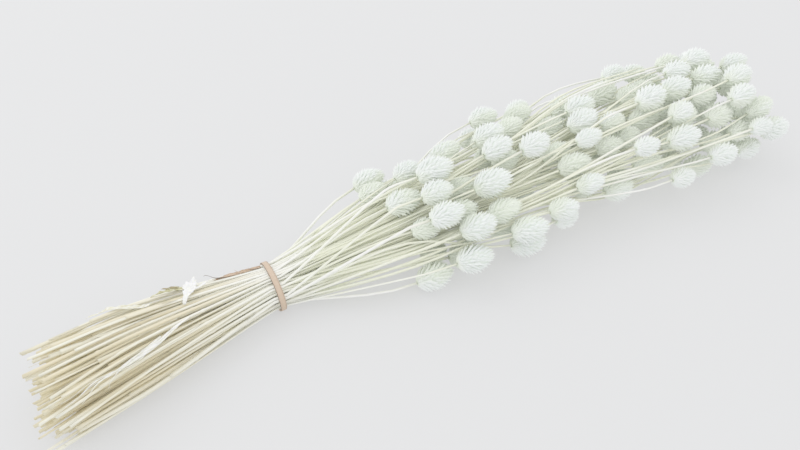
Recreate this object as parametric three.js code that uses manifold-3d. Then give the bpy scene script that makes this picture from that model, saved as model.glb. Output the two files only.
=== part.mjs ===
// A bunch of dried canary grass, lying on its side and tied at its waist by one rubber band.
// Millimetres. +X runs along the bunch towards the heads, +Z is up, and it rests on z = 0.
// A culm is one grown piece: its stem and the scaly head on top of it.
// Culms that press together under the band are fused there, three to a node.
import * as THREE from 'three';
import { mergeVertices } from 'three/addons/utils/BufferGeometryUtils.js';
import Module from 'manifold-3d';

const wasm = await Module();
wasm.setup();

// Driving dimensions of the bunch, along X from the middle of the band
const seed = 20;
const tuftCount = 50;
const culmsInTuft = 3;
const brokenEvery = 17;
const cutEnd = -152;
const cutRaggedness = 11;
const firstHead = 82;
const lastHead = 436;
const headCrowding = 1.3;
const lengthScatter = 0.45;

// Cross-sections that every culm passes through: middle across the bunch, and half
// the width and height that the stem centres fill. The flat part is under the band.
const flat = 5;
const sections = [
  { along: -170, across: -29, halfWidth: 41, halfHeight: 21 },
  { along: -95, across: -10, halfWidth: 34, halfHeight: 18 },
  { along: -flat, across: 0, halfWidth: 19.2, halfHeight: 12.6 },
  { along: flat, across: 0, halfWidth: 19.2, halfHeight: 12.6 },
  { along: 95, across: 3, halfWidth: 33, halfHeight: 17 },
  { along: 190, across: 3, halfWidth: 52, halfHeight: 24 },
  { along: 285, across: 9, halfWidth: 64, halfHeight: 28 },
  { along: 380, across: 11, halfWidth: 66, halfHeight: 29 },
  { along: 485, across: 8, halfWidth: 54, halfHeight: 28 },
];
const waistStart = 2;
const waistEnd = 3;

// Stems
const stemRadiusAtCut = 1.45;
const stemRadiusAtBand = 0.92;
const stemRadiusAtHead = 0.85;
const taperEnds = 190;
const stemSides = 3;
const brokenTipRadius = 0.45;

// Heads: an ovoid covered by pointed scales, which stand out as relief
const headLength = 27;
const headRadius = 10;
const headColumns = 8;
const headRings = 4;
const scaleDepth = 0.24;
const scaleLean = 0.1;

// Loose dry leaves that lie on the cut side of the bunch. Each course gives a few places along
// and across the bunch with the width there, a lift off the stems and a roll in degrees.
const leafThickness = 0.7;
const leafShapes = [
  {
    name: 'brown_sheath',
    color: 0xa58a6c,
    course: [
      { along: -3.6, across: 12.5, width: 2.2, lift: 0, roll: 0 },
      { along: -16, across: 12.5, width: 4, lift: 0, roll: 8 },
      { along: -29, across: 13.5, width: 4.6, lift: 0.2, roll: 14 },
      { along: -36, across: 13.5, width: 3.4, lift: 1.5, roll: 20 },
      { along: -43, across: 15.5, width: 1.2, lift: 8, roll: 20 },
    ],
  },
  {
    name: 'white_leaf',
    color: 0xf3f2ea,
    course: [
      { along: -62, across: -6, width: 1.6, lift: 0, roll: 0 },
      { along: -57, across: 1, width: 6, lift: 0.2, roll: 6 },
      { along: -54, across: 8, width: 9, lift: 0.6, roll: 10 },
      { along: -51, across: 13, width: 7, lift: 2, roll: 10 },
      { along: -49, across: 17, width: 1.4, lift: 7, roll: 10 },
    ],
  },
  {
    name: 'olive_leaf',
    color: 0xb3ac7d,
    course: [
      { along: -58, across: 10, width: 2, lift: 0, roll: 0 },
      { along: -65, across: 12.5, width: 5, lift: 0.8, roll: 22 },
      { along: -73, across: 12.5, width: 4.6, lift: 1.4, roll: 34 },
      { along: -81, across: 10.5, width: 1.4, lift: 0.6, roll: 20 },
    ],
  },
  {
    name: 'pale_blade',
    color: 0xf0efe0,
    course: [
      { along: -82, across: 3, width: 2, lift: 0, roll: 0 },
      { along: -94, across: 7, width: 3.4, lift: 0.2, roll: 6 },
      { along: -107, across: 11, width: 3.2, lift: 1.5, roll: 10 },
      { along: -122, across: 15, width: 1, lift: 5, roll: 10 },
    ],
  },
  {
    name: 'frayed_leaf',
    color: 0xeceada,
    course: [
      { along: -62, across: -20, width: 2, lift: 0, roll: 0 },
      { along: -84, across: -31, width: 5, lift: 0, roll: -8 },
      { along: -104, across: -40, width: 5, lift: 0, roll: -6 },
      { along: -126, across: -46, width: 3.4, lift: 0, roll: 0 },
      { along: -146, across: -55, width: 1.2, lift: 0, roll: 0 },
    ],
  },
];

// Rubber band
const bandWidth = 4.6;
const bandThickness = 1.2;
const bandFacets = 28;

// Clearances
const gap = 0.3;
const planningGap = 0.42;
const floorGap = 0.1;
const seatLength = 3;

const oval = sections[waistStart];
const bandInnerHalfWidth = oval.halfWidth + stemRadiusAtBand + gap;
const bandInnerHalfHeight = oval.halfHeight + stemRadiusAtBand + gap;
const waistHeight = bandThickness + bandInnerHalfHeight;

// A small repeatable random draw
function seededRandom(start) {
  let state = start;
  return () => {
    state = (state + 0x6d2b79f5) | 0;
    let mixed = Math.imul(state ^ (state >>> 15), 1 | state);
    mixed = (mixed + Math.imul(mixed ^ (mixed >>> 7), 61 | mixed)) ^ mixed;
    return ((mixed ^ (mixed >>> 14)) >>> 0) / 4294967296;
  };
}

const random = seededRandom(seed);
const spread = (size) => (random() * 2 - 1) * size;

function stemRadius(along) {
  if (along < 0) {
    const cutShare = Math.min(along / cutEnd, 1);
    return THREE.MathUtils.lerp(stemRadiusAtBand, stemRadiusAtCut, cutShare);
  }
  return THREE.MathUtils.lerp(stemRadiusAtBand, stemRadiusAtHead, Math.min(along / taperEnds, 1));
}

// Radius of a head, as a share of its widest, at a share of its length
function headProfile(share) {
  return Math.pow(Math.sin(Math.PI * Math.pow(share, 0.85)), 0.6);
}

// Where the culms stand in the waist, as shares of its oval: tufts on a sunflower pattern,
// and the culms of each tuft huddled round its middle
function waistPlaces() {
  const goldenAngle = Math.PI * (3 - Math.sqrt(5));
  const huddle = (stemRadiusAtBand + gap / 2) / Math.sin(Math.PI / culmsInTuft);
  const places = [];
  for (let tuft = 0; tuft < tuftCount; tuft += 1) {
    const reach = Math.sqrt((tuft + 0.5) / tuftCount);
    const turn = tuft * goldenAngle;
    const start = spread(Math.PI);
    for (let member = 0; member < culmsInTuft; member += 1) {
      const angle = start + (member / culmsInTuft) * Math.PI * 2;
      places.push({
        y: reach * Math.cos(turn) + (huddle / oval.halfWidth) * Math.cos(angle),
        z: reach * Math.sin(turn) + (huddle / oval.halfHeight) * Math.sin(angle),
      });
    }
  }
  return places;
}

// Each culm's head place along the bunch: outer culms carry the first heads, inner ones the last,
// and those on top and below run further than those at the sides
function planHeads(places) {
  const order = places.map((place, index) => {
    const reach = Math.hypot(place.y, place.z);
    const sideways = Math.abs(place.y) / Math.max(reach, 0.01);
    return { index, score: reach * reach * (0.6 + 0.7 * sideways * sideways) + spread(lengthScatter) };
  });
  order.sort((one, other) => one.score - other.score);
  order.forEach((entry, rank) => {
    const share = Math.pow(rank / (order.length - 1), headCrowding);
    places[entry.index].headAt = THREE.MathUtils.lerp(lastHead, firstHead, share) + spread(7);
  });
}

// Height of the middle of a section: the bunch lies on its lowest stems, and further on its heads
function middleHeight(index) {
  if (index === waistStart || index === waistEnd) {
    return waistHeight;
  }
  const { along, halfHeight } = sections[index];
  const headShare = THREE.MathUtils.clamp(along / sections[waistEnd + 2].along, 0, 1);
  return halfHeight + THREE.MathUtils.lerp(stemRadiusAtCut, headRadius, headShare);
}

// A culm's wanted course: through every section it fills the room that the shorter culms leave
function planCourse(place) {
  const reach = Math.min(1, Math.hypot(place.y, place.z));
  const turn = Math.atan2(place.z, place.y);
  const straying = { y: spread(7), z: spread(4), cutY: spread(6), cutZ: spread(3) };
  return sections.map((section, index) => {
    const middle = middleHeight(index);
    const left = THREE.MathUtils.clamp((lastHead - section.along) / (lastHead - firstHead), 0.2, 1);
    const share = Math.min(1, reach / Math.sqrt(left));
    const strayed = section.along > 0
      ? Math.max(0, section.along - flat) / lastHead
      : Math.max(0, -flat - section.along) / -cutEnd;
    const strayY = section.along > 0 ? straying.y : straying.cutY;
    const strayZ = section.along > 0 ? straying.z : straying.cutZ;
    return {
      y: section.across + section.halfWidth * share * Math.cos(turn) + strayY * strayed,
      z: middle + section.halfHeight * share * Math.sin(turn) + strayZ * strayed,
    };
  });
}

function planCulms() {
  const places = waistPlaces();
  planHeads(places);
  return places.map((place, index) => {
    const size = 1 + spread(0.14);
    const wanted = planCourse(place);
    return {
      broken: index % brokenEvery === brokenEvery - 1,
      cutAt: cutEnd + spread(cutRaggedness),
      headAt: place.headAt,
      headLength: headLength * size,
      headRadius: headRadius * (size + spread(0.05)),
      wanted,
      course: wanted.map((point) => ({ ...point })),
    };
  });
}

// The section before a place along the bunch, and how far it lies towards the next one
function locate(along) {
  let index = 0;
  while (index < sections.length - 2 && along > sections[index + 1].along) {
    index += 1;
  }
  const share = (along - sections[index].along) / (sections[index + 1].along - sections[index].along);
  return { index, share };
}

function pointOn(culm, along) {
  const { index, share } = locate(along);
  const from = culm.course[index];
  const to = culm.course[index + 1];
  return new THREE.Vector3(
    along,
    THREE.MathUtils.lerp(from.y, to.y, share),
    THREE.MathUtils.lerp(from.z, to.z, share),
  );
}

// How thick a culm is at a place along the bunch, or nothing past its ends
function thicknessAt(culm, along) {
  if (along < culm.cutAt - 2) {
    return 0;
  }
  if (along < culm.headAt) {
    return stemRadius(along);
  }
  if (culm.broken || along > culm.headAt + culm.headLength) {
    return 0;
  }
  const share = (along - culm.headAt) / culm.headLength;
  const scaleTips = headProfile(THREE.MathUtils.clamp(share - scaleLean, 0.01, 0.93));
  const fullest = Math.max(scaleTips, headProfile(Math.min(share, 0.93)));
  return Math.max(stemRadius(along), culm.headRadius * fullest);
}

// Moves a culm sideways at one place, by bending it at the sections on both sides
function nudge(culm, spot, y, z) {
  const far = spot.share;
  const near = 1 - far;
  const scale = 1 / (near * near + far * far);
  const from = culm.course[spot.index];
  const to = culm.course[spot.index + 1];
  from.y += y * near * scale;
  from.z += z * near * scale;
  to.y += y * far * scale;
  to.z += z * far * scale;
}

// Culms lie beside each other: wherever two are too close they are bent apart
function clearAt(culms, along) {
  const spot = locate(along);
  const present = [];
  for (const culm of culms) {
    const radius = thicknessAt(culm, along);
    if (radius > 0) {
      const point = pointOn(culm, along);
      present.push({ culm, radius, y: point.y, z: point.z });
    }
  }
  for (let first = 0; first < present.length; first += 1) {
    const one = present[first];
    for (let second = first + 1; second < present.length; second += 1) {
      const other = present[second];
      const room = one.radius + other.radius + planningGap;
      const y = other.y - one.y;
      const z = other.z - one.z;
      if (Math.abs(y) < room && Math.abs(z) < room) {
        const distance = Math.max(Math.hypot(y, z), 0.01);
        if (distance < room) {
          const push = (room - distance) / 2 / distance;
          nudge(one.culm, spot, -y * push, -z * push);
          nudge(other.culm, spot, y * push, z * push);
          one.y -= y * push;
          one.z -= z * push;
          other.y += y * push;
          other.z += z * push;
        }
      }
    }
  }
  for (const { culm, radius, z } of present) {
    const lowest = radius * 1.03 + floorGap;
    if (z < lowest) {
      nudge(culm, spot, 0, lowest - z);
    }
  }
}

// The band holds the culms: inside its oval, and parallel under it
function holdInBand(culms) {
  for (const culm of culms) {
    const from = culm.course[waistStart];
    const to = culm.course[waistEnd];
    let y = (from.y + to.y) / 2;
    let z = (from.z + to.z) / 2 - waistHeight;
    const reach = Math.hypot(y / oval.halfWidth, z / oval.halfHeight);
    if (reach > 1) {
      y /= reach;
      z /= reach;
    }
    for (const point of [from, to]) {
      point.y = y;
      point.z = z + waistHeight;
    }
  }
}

// A culm that strays past the bunch's outline is drawn back towards it
function holdInOutline(culms) {
  const slack = 1.08;
  const strength = 0.35;
  sections.forEach((section, index) => {
    const middle = middleHeight(index);
    for (const culm of culms) {
      const point = culm.course[index];
      const y = (point.y - section.across) / (section.halfWidth * slack);
      const z = (point.z - middle) / (section.halfHeight * slack);
      const excess = 1 - 1 / Math.max(1, Math.hypot(y, z));
      point.y -= (point.y - section.across) * excess * strength;
      point.z -= (point.z - middle) * excess * strength;
    }
  });
}

// The culms of a tuft stay side by side in the waist
function holdTufts(culms) {
  const wanted = 2 * stemRadiusAtBand + gap;
  for (let index = 0; index < culms.length; index += 1) {
    const member = index % culmsInTuft;
    const neighbour = index - member + ((member + 1) % culmsInTuft);
    for (const at of [waistStart, waistEnd]) {
      const one = culms[index].course[at];
      const other = culms[neighbour].course[at];
      const y = other.y - one.y;
      const z = other.z - one.z;
      const distance = Math.max(Math.hypot(y, z), 0.01);
      const pull = (distance - wanted) / 2 / distance;
      one.y += y * pull;
      one.z += z * pull;
      other.y -= y * pull;
      other.z -= z * pull;
    }
  }
}

// Dry stems are stiff: each is drawn towards a straight line and towards its wanted course
function straighten(culms, strength) {
  for (const culm of culms) {
    const { course, wanted } = culm;
    for (let index = 0; index < course.length; index += 1) {
      const inWaist = index === waistStart || index === waistEnd;
      const atEnd = index === 0 || index === course.length - 1;
      course[index].y += (wanted[index].y - course[index].y) * 0.02 * strength;
      course[index].z += (wanted[index].z - course[index].z) * 0.02 * strength;
      if (!inWaist && !atEnd) {
        const before = course[index - 1];
        const after = course[index + 1];
        course[index].y += ((before.y + after.y) / 2 - course[index].y) * 0.05 * strength;
        course[index].z += ((before.z + after.z) / 2 - course[index].z) * 0.05 * strength;
      }
    }
  }
}

function bendClear(culms) {
  const stepAlong = 4.5;
  const passes = 460;
  for (let pass = 0; pass < passes; pass += 1) {
    straighten(culms, Math.max(0, 1 - pass / (passes * 0.8)));
    for (let along = cutEnd - cutRaggedness; along < lastHead + headLength * 1.3; along += stepAlong) {
      clearAt(culms, along);
    }
    if (pass < passes * 0.7) {
      holdInOutline(culms);
    }
    holdTufts(culms);
    holdInBand(culms);
  }
}

// Joins rings of points into one closed skin
class Skin {
  constructor() {
    this.points = [];
    this.faces = [];
  }

  ring(points) {
    const start = this.points.length;
    this.points.push(...points);
    return points.map((_, index) => start + index);
  }

  face(one, two, three) {
    this.faces.push(one, two, three);
  }

  capStart(ring) {
    for (let index = 1; index < ring.length - 1; index += 1) {
      this.face(ring[0], ring[index + 1], ring[index]);
    }
  }

  capEnd(ring) {
    for (let index = 1; index < ring.length - 1; index += 1) {
      this.face(ring[0], ring[index], ring[index + 1]);
    }
  }

  // Walls between two rings of the same count. crossed says which way each wall is split.
  walls(from, to, crossed = () => false) {
    for (let index = 0; index < from.length; index += 1) {
      const next = (index + 1) % from.length;
      if (crossed(index)) {
        this.face(from[index], from[next], to[index]);
        this.face(from[next], to[next], to[index]);
      } else {
        this.face(from[index], from[next], to[next]);
        this.face(from[index], to[next], to[index]);
      }
    }
  }

  // Walls between two rings of different counts, going round both at the same pace
  widen(from, to) {
    let near = 0;
    let far = 0;
    while (near < from.length || far < to.length) {
      const here = from[near % from.length];
      const there = to[far % to.length];
      if ((near + 0.5) / from.length < (far + 0.5) / to.length) {
        near += 1;
        this.face(here, from[near % from.length], there);
      } else {
        far += 1;
        this.face(here, to[far % to.length], there);
      }
    }
  }

  closeTo(ring, point) {
    const tip = this.ring([point])[0];
    for (let index = 0; index < ring.length; index += 1) {
      this.face(ring[index], ring[(index + 1) % ring.length], tip);
    }
  }

  geometry() {
    const geometry = new THREE.BufferGeometry();
    const numbers = this.points.flatMap((point) => [point.x, point.y, point.z]);
    geometry.setAttribute('position', new THREE.Float32BufferAttribute(numbers, 3));
    geometry.setIndex(this.faces);
    return geometry;
  }
}

function stemRing(centre, radius) {
  const points = [];
  for (let side = 0; side < stemSides; side += 1) {
    const angle = (side / stemSides - 0.25) * Math.PI * 2;
    points.push(new THREE.Vector3(
      centre.x,
      centre.y + radius * Math.cos(angle),
      centre.z + radius * Math.sin(angle),
    ));
  }
  return points;
}

// Every other point of each ring stands out and leans forward as the tip of a scale
function headRing(culm, frame, number, oddStart) {
  const share = 0.1 + (0.78 * number) / (headRings - 1);
  const points = [];
  for (let column = 0; column < headColumns; column += 1) {
    const isTip = (column + number + oddStart) % 2 === 0;
    const angle = (column / headColumns - 0.25) * Math.PI * 2;
    const reach = culm.headRadius * headProfile(share) * (isTip ? 1 : 1 - scaleDepth);
    const forward = culm.headLength * (share + (isTip ? scaleLean : -scaleLean / 3));
    points.push(frame.base.clone()
      .addScaledVector(frame.axis, Math.min(forward, culm.headLength * 0.985))
      .addScaledVector(frame.side, reach * Math.cos(angle))
      .addScaledVector(frame.up, reach * Math.sin(angle)));
  }
  return points;
}

function addHead(skin, culm, lastStemRing, oddStart) {
  const base = pointOn(culm, culm.headAt);
  const axis = pointOn(culm, culm.headAt + culm.headLength).sub(base).normalize();
  const side = new THREE.Vector3(0, 1, 0).addScaledVector(axis, -axis.y).normalize();
  const up = new THREE.Vector3().crossVectors(axis, side);
  const frame = { base, axis, side, up };
  let previous = null;
  for (let number = 0; number < headRings; number += 1) {
    const ring = skin.ring(headRing(culm, frame, number, oddStart));
    if (previous) {
      const tipBefore = (index) => (index + number - 1 + oddStart) % 2 === 0;
      skin.walls(previous, ring, tipBefore);
    } else {
      skin.widen(lastStemRing, ring);
    }
    previous = ring;
  }
  skin.closeTo(previous, base.clone().addScaledVector(axis, culm.headLength * 1.04));
}

function culmGeometry(culm, oddStart) {
  const skin = new Skin();
  const shortest = 12;
  const stops = [culm.cutAt];
  for (const section of sections) {
    if (section.along > culm.cutAt + shortest && section.along < culm.headAt - shortest) {
      stops.push(section.along);
    }
  }
  let previous = null;
  for (const along of stops) {
    const ring = skin.ring(stemRing(pointOn(culm, along), stemRadius(along)));
    if (previous) {
      skin.walls(previous, ring);
    } else {
      skin.capStart(ring);
    }
    previous = ring;
  }
  const endRadius = culm.broken ? brokenTipRadius : stemRadius(culm.headAt);
  const end = skin.ring(stemRing(pointOn(culm, culm.headAt), endRadius));
  skin.walls(previous, end);
  if (culm.broken) {
    skin.capEnd(end);
  } else {
    addHead(skin, culm, end, oddStart);
  }
  return skin.geometry();
}

// The pressed seat that holds a tuft together under the band, with a corner in each stem
function pressedSeat(members) {
  const corners = members.map((culm) => pointOn(culm, 0));
  const shape = new THREE.Shape(corners.map((corner) => new THREE.Vector2(corner.y, corner.z)));
  const geometry = new THREE.ExtrudeGeometry(shape, { depth: seatLength, bevelEnabled: false });
  geometry.translate(0, 0, -seatLength / 2);
  geometry.rotateX(Math.PI / 2);
  geometry.rotateZ(Math.PI / 2);
  return geometry;
}

function toSolid(geometry) {
  geometry.deleteAttribute('normal');
  geometry.deleteAttribute('uv');
  const merged = mergeVertices(geometry);
  return new wasm.Manifold(new wasm.Mesh({
    numProp: 3,
    vertProperties: new Float32Array(merged.attributes.position.array),
    triVerts: new Uint32Array(merged.index.array),
  }));
}

function toGeometry(solid) {
  const mesh = solid.getMesh();
  const geometry = new THREE.BufferGeometry();
  geometry.setAttribute('position', new THREE.BufferAttribute(mesh.vertProperties, 3));
  geometry.setIndex(new THREE.BufferAttribute(mesh.triVerts, 1));
  geometry.computeVertexNormals();
  return geometry;
}

function fusedTuft(members) {
  let solid = toSolid(pressedSeat(members));
  members.forEach((culm, index) => {
    solid = solid.add(toSolid(culmGeometry(culm, index % 2)));
  });
  return toGeometry(solid);
}

// A flat strip bent round the waist, with a level facet under it
function bandGeometry() {
  const outline = (grow) => {
    const points = [];
    for (let facet = 0; facet < bandFacets; facet += 1) {
      const angle = ((facet + 0.5) / bandFacets) * Math.PI * 2;
      const stretch = 1 / Math.cos(Math.PI / bandFacets);
      points.push(new THREE.Vector2(
        Math.sin(angle) * (bandInnerHalfWidth + grow) * stretch,
        -Math.cos(angle) * (bandInnerHalfHeight + grow) * stretch,
      ));
    }
    return points;
  };
  const shape = new THREE.Shape(outline(bandThickness));
  shape.holes.push(new THREE.Path(outline(0)));
  const geometry = new THREE.ExtrudeGeometry(shape, { depth: bandWidth, bevelEnabled: false });
  geometry.translate(0, 0, -bandWidth / 2);
  geometry.rotateX(Math.PI / 2);
  geometry.rotateZ(Math.PI / 2);
  geometry.translate(0, 0, waistHeight);
  return geometry;
}

// Height of the flat tops of the stems, or of the surface they lie on, under a patch of the bunch
function topUnder(culms, patch) {
  const stepAlong = 1.5;
  let top = floorGap;
  for (let along = patch.from; along <= patch.to + stepAlong / 2; along += stepAlong) {
    for (const culm of culms) {
      const radius = thicknessAt(culm, along);
      const point = pointOn(culm, along);
      const aside = Math.abs(point.y - patch.across) - patch.reach;
      if (radius > 0 && aside < radius) {
        top = Math.max(top, point.z + radius * Math.cos(Math.PI / stemSides) + gap);
      }
    }
  }
  return top;
}

// How far above the stems a blade's underside is, at its nearest, with the stems looked at
// this far before and behind
function clearance(culms, blade, ahead) {
  const parts = 4;
  const reach = Math.abs(blade.aside.y) * blade.halfWidth / parts + 0.2;
  const length = Math.abs(blade.aside.x) * blade.halfWidth / parts + ahead;
  let nearest = Infinity;
  for (let part = -parts; part <= parts; part += 1) {
    const point = blade.place.clone().addScaledVector(blade.aside, (blade.halfWidth * part) / parts);
    const top = topUnder(culms, { from: point.x - length, to: point.x + length, across: point.y, reach });
    nearest = Math.min(nearest, point.z - leafThickness / 2 - top);
  }
  return nearest;
}

// The rings of a blade: each lies on the stems under it, raised by its lift,
// and then the whole blade comes down until it rests
function seatBlade(culms, leaf) {
  const stepsPerPlace = 2;
  const middles = leaf.course.map((spot) => new THREE.Vector3(spot.along, spot.across, 0));
  const curve = new THREE.CatmullRomCurve3(middles);
  const steps = (leaf.course.length - 1) * stepsPerPlace;
  const spacing = curve.getLength() / steps;
  const blades = [];
  for (let step = 0; step <= steps; step += 1) {
    const before = Math.min(Math.floor(step / stepsPerPlace), leaf.course.length - 2);
    const share = step / stepsPerPlace - before;
    const from = leaf.course[before];
    const to = leaf.course[before + 1];
    const blend = (key) => THREE.MathUtils.lerp(from[key], to[key], share);
    const place = curve.getPoint(step / steps);
    const tangent = curve.getTangent(step / steps);
    const roll = THREE.MathUtils.degToRad(blend('roll'));
    const aside = new THREE.Vector3(-tangent.y, tangent.x, 0)
      .multiplyScalar(Math.cos(roll))
      .setZ(Math.sin(roll));
    const blade = { place, aside, halfWidth: blend('width') / 2 };
    place.z = blend('lift') - clearance(culms, blade, spacing / 2);
    blades.push(blade);
  }
  const between = (one, other, share) => ({
    place: one.place.clone().lerp(other.place, share),
    aside: one.aside.clone().lerp(other.aside, share),
    halfWidth: THREE.MathUtils.lerp(one.halfWidth, other.halfWidth, share),
  });
  let nearest = Infinity;
  for (let index = 1; index < blades.length; index += 1) {
    for (const share of [0.25, 0.5, 0.75, 1]) {
      nearest = Math.min(nearest, clearance(culms, between(blades[index - 1], blades[index], share), 0));
    }
  }
  for (const blade of blades) {
    blade.place.z -= nearest;
  }
  return blades;
}

// Both faces of a blade are split into triangles alike
function leafGeometry(culms, leaf) {
  const skin = new Skin();
  const underside = 1;
  let previous = null;
  for (const { place, aside, halfWidth } of seatBlade(culms, leaf)) {
    const corner = (side, up) => place.clone()
      .addScaledVector(aside, side * halfWidth)
      .add(new THREE.Vector3(0, 0, (up * leafThickness) / 2));
    const ring = skin.ring([corner(-1, 1), corner(-1, -1), corner(1, -1), corner(1, 1)]);
    if (previous) {
      skin.walls(previous, ring, (index) => index === underside);
    } else {
      skin.capStart(ring);
    }
    previous = ring;
  }
  skin.capEnd(previous);
  return skin.geometry();
}

const culmMaterial = new THREE.MeshStandardMaterial({ color: 0xecefe2, roughness: 0.85, metalness: 0 });
const bandMaterial = new THREE.MeshStandardMaterial({ color: 0xd9bfa3, roughness: 0.6, metalness: 0 });

function namedMesh(name, geometry, material) {
  const mesh = new THREE.Mesh(geometry, material);
  mesh.name = name;
  return mesh;
}

const culms = planCulms();
bendClear(culms);

const bunch = new THREE.Group();
for (let tuft = 0; tuft < tuftCount; tuft += 1) {
  const name = `culms_${String(tuft + 1).padStart(2, '0')}`;
  const members = culms.slice(tuft * culmsInTuft, (tuft + 1) * culmsInTuft);
  bunch.add(namedMesh(name, fusedTuft(members), culmMaterial));
}
bunch.add(namedMesh('rubber_band', bandGeometry(), bandMaterial));
for (const leaf of leafShapes) {
  const material = new THREE.MeshStandardMaterial({ color: leaf.color, roughness: 0.8, metalness: 0 });
  bunch.add(namedMesh(leaf.name, leafGeometry(culms, leaf), material));
}

// The origin is under the middle of the bunch
const middle = new THREE.Box3().setFromObject(bunch).getCenter(new THREE.Vector3());
bunch.position.set(-middle.x, -middle.y, 0);

export default bunch;
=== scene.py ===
import math
import random
import bmesh
import bpy
import numpy as np
from mathutils import Matrix, Vector
from mathutils.bvhtree import BVHTree
from mathutils.geometry import interpolate_bezier


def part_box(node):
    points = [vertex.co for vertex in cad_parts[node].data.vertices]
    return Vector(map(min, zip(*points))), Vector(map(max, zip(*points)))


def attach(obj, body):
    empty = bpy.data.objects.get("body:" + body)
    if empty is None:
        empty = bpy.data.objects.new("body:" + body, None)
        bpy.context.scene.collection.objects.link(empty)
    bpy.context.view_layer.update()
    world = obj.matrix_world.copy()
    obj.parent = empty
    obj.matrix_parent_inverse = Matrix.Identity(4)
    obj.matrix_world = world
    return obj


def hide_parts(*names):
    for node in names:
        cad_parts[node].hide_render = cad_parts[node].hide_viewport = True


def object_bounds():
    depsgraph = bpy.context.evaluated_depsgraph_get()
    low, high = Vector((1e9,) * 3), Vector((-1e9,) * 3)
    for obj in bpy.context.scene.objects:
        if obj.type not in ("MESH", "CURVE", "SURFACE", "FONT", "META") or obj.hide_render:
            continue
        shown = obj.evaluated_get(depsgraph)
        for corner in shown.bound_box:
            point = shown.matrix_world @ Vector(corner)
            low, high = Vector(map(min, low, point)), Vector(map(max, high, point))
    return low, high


# A bunch of dried canary grass, tied at its waist and lying on its side.
# Metres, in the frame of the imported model: +X towards the heads, +Z up, the surface at z = 0.
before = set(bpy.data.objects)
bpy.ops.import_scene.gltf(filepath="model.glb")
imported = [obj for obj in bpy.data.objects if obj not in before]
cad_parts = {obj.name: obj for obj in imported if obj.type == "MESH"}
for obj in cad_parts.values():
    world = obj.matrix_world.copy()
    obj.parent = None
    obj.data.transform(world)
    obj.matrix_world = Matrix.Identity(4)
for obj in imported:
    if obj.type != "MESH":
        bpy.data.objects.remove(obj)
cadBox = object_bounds()
mm = 0.001
mergeDistance = 0.002 * mm
seed = 7
bandLow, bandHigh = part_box("rubber_band")
bandMiddle = (bandLow + bandHigh) / 2
draw = random.Random(seed)
print("frame loaded:", len(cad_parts), "nodes")


# Materials

def newMaterial(name):
    material = bpy.data.materials.new(name)
    material.use_nodes = True
    tree = material.node_tree
    shader = tree.nodes["Principled BSDF"]
    return material, tree, shader


def addNode(tree, kind, **settings):
    node = tree.nodes.new(kind)
    for key, value in settings.items():
        setattr(node, key, value)
    return node


def readAttribute(tree, name):
    return addNode(tree, "ShaderNodeAttribute", attribute_name=name).outputs["Fac"]


def mapRange(tree, source, low, high, toLow=0.0, toHigh=1.0):
    node = addNode(tree, "ShaderNodeMapRange", interpolation_type="SMOOTHSTEP")
    tree.links.new(source, node.inputs["Value"])
    node.inputs["From Min"].default_value = low
    node.inputs["From Max"].default_value = high
    node.inputs["To Min"].default_value = toLow
    node.inputs["To Max"].default_value = toHigh
    return node.outputs["Result"]


def mixColours(tree, share, first, second, blend="MIX"):
    # A colour mix has its share at input 0, its colours at inputs 6 and 7 and its result at output 2
    node = addNode(tree, "ShaderNodeMix", data_type="RGBA", blend_type=blend)
    for socket, value in ((node.inputs[0], share), (node.inputs[6], first), (node.inputs[7], second)):
        if isinstance(value, bpy.types.NodeSocket):
            tree.links.new(value, socket)
        elif isinstance(value, float):
            socket.default_value = value
        else:
            socket.default_value = (*value, 1.0)
    return node.outputs[2]


def calculate(tree, operation, first, second):
    node = addNode(tree, "ShaderNodeMath", operation=operation)
    for socket, value in zip(node.inputs, (first, second)):
        if isinstance(value, bpy.types.NodeSocket):
            tree.links.new(value, socket)
        else:
            socket.default_value = value
    return node.outputs[0]


def stretchedNoise(tree, scale, detail=3.0, roughness=0.6):
    # The scale is per metre along X, Y and Z, so a small first number draws the pattern out along the stems
    place = addNode(tree, "ShaderNodeTexCoord").outputs["Object"]
    mapping = addNode(tree, "ShaderNodeMapping")
    tree.links.new(place, mapping.inputs["Vector"])
    mapping.inputs["Scale"].default_value = scale
    pattern = addNode(tree, "ShaderNodeTexNoise")
    tree.links.new(mapping.outputs["Vector"], pattern.inputs["Vector"])
    pattern.inputs["Scale"].default_value = 1.0
    pattern.inputs["Detail"].default_value = detail
    pattern.inputs["Roughness"].default_value = roughness
    return pattern.outputs["Fac"]


def addBump(tree, shader, height, distance, strength):
    bump = addNode(tree, "ShaderNodeBump")
    bump.inputs["Strength"].default_value = strength
    bump.inputs["Distance"].default_value = distance
    tree.links.new(height, bump.inputs["Height"])
    tree.links.new(bump.outputs["Normal"], shader.inputs["Normal"])


def varyRoughness(tree, shader, pattern, limits):
    tree.links.new(mapRange(tree, pattern, 0.2, 0.8, *limits), shader.inputs["Roughness"])


# In the looks, a range gives what is read, low and high, and then the shares it turns into, if not 0 and 1

strawLook = {
    "outerCut": (0.89, 0.875, 0.735),
    "outerUpper": (0.95, 0.955, 0.93),
    # Painted shade colours, golden at the cut and green towards the heads, also used by the stains
    "shadeAndStainCut": (0.76, 0.67, 0.42),
    "shadeAndStainUpper": (0.87, 0.89, 0.72),
    "tanned": (0.78, 0.69, 0.46),
    "grain": ((0.70, 0.69, 0.52), (1.0, 1.0, 0.98)),
    "grainShare": 0.22,
    "grainRange": (0.3, 0.7),
    "whitenRange": (-110 * mm, 40 * mm),  # from the band's middle along X
    "belowRange": (20 * mm, -70 * mm),
    "tannedRange": (0.72, 1.0),
    # The depth over which the painted shade grows from none to full
    "paintedShadeRange": (0.1, 1.0),
    "stainRange": (0.52, 0.74, 0.0, 0.21),
    "streakScale": (9.0, 900.0, 900.0),
    "patchScale": (30.0, 160.0, 160.0),
    "roughness": (0.48, 0.73),
    "bump": (0.3 * mm, 0.5),
}


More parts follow.
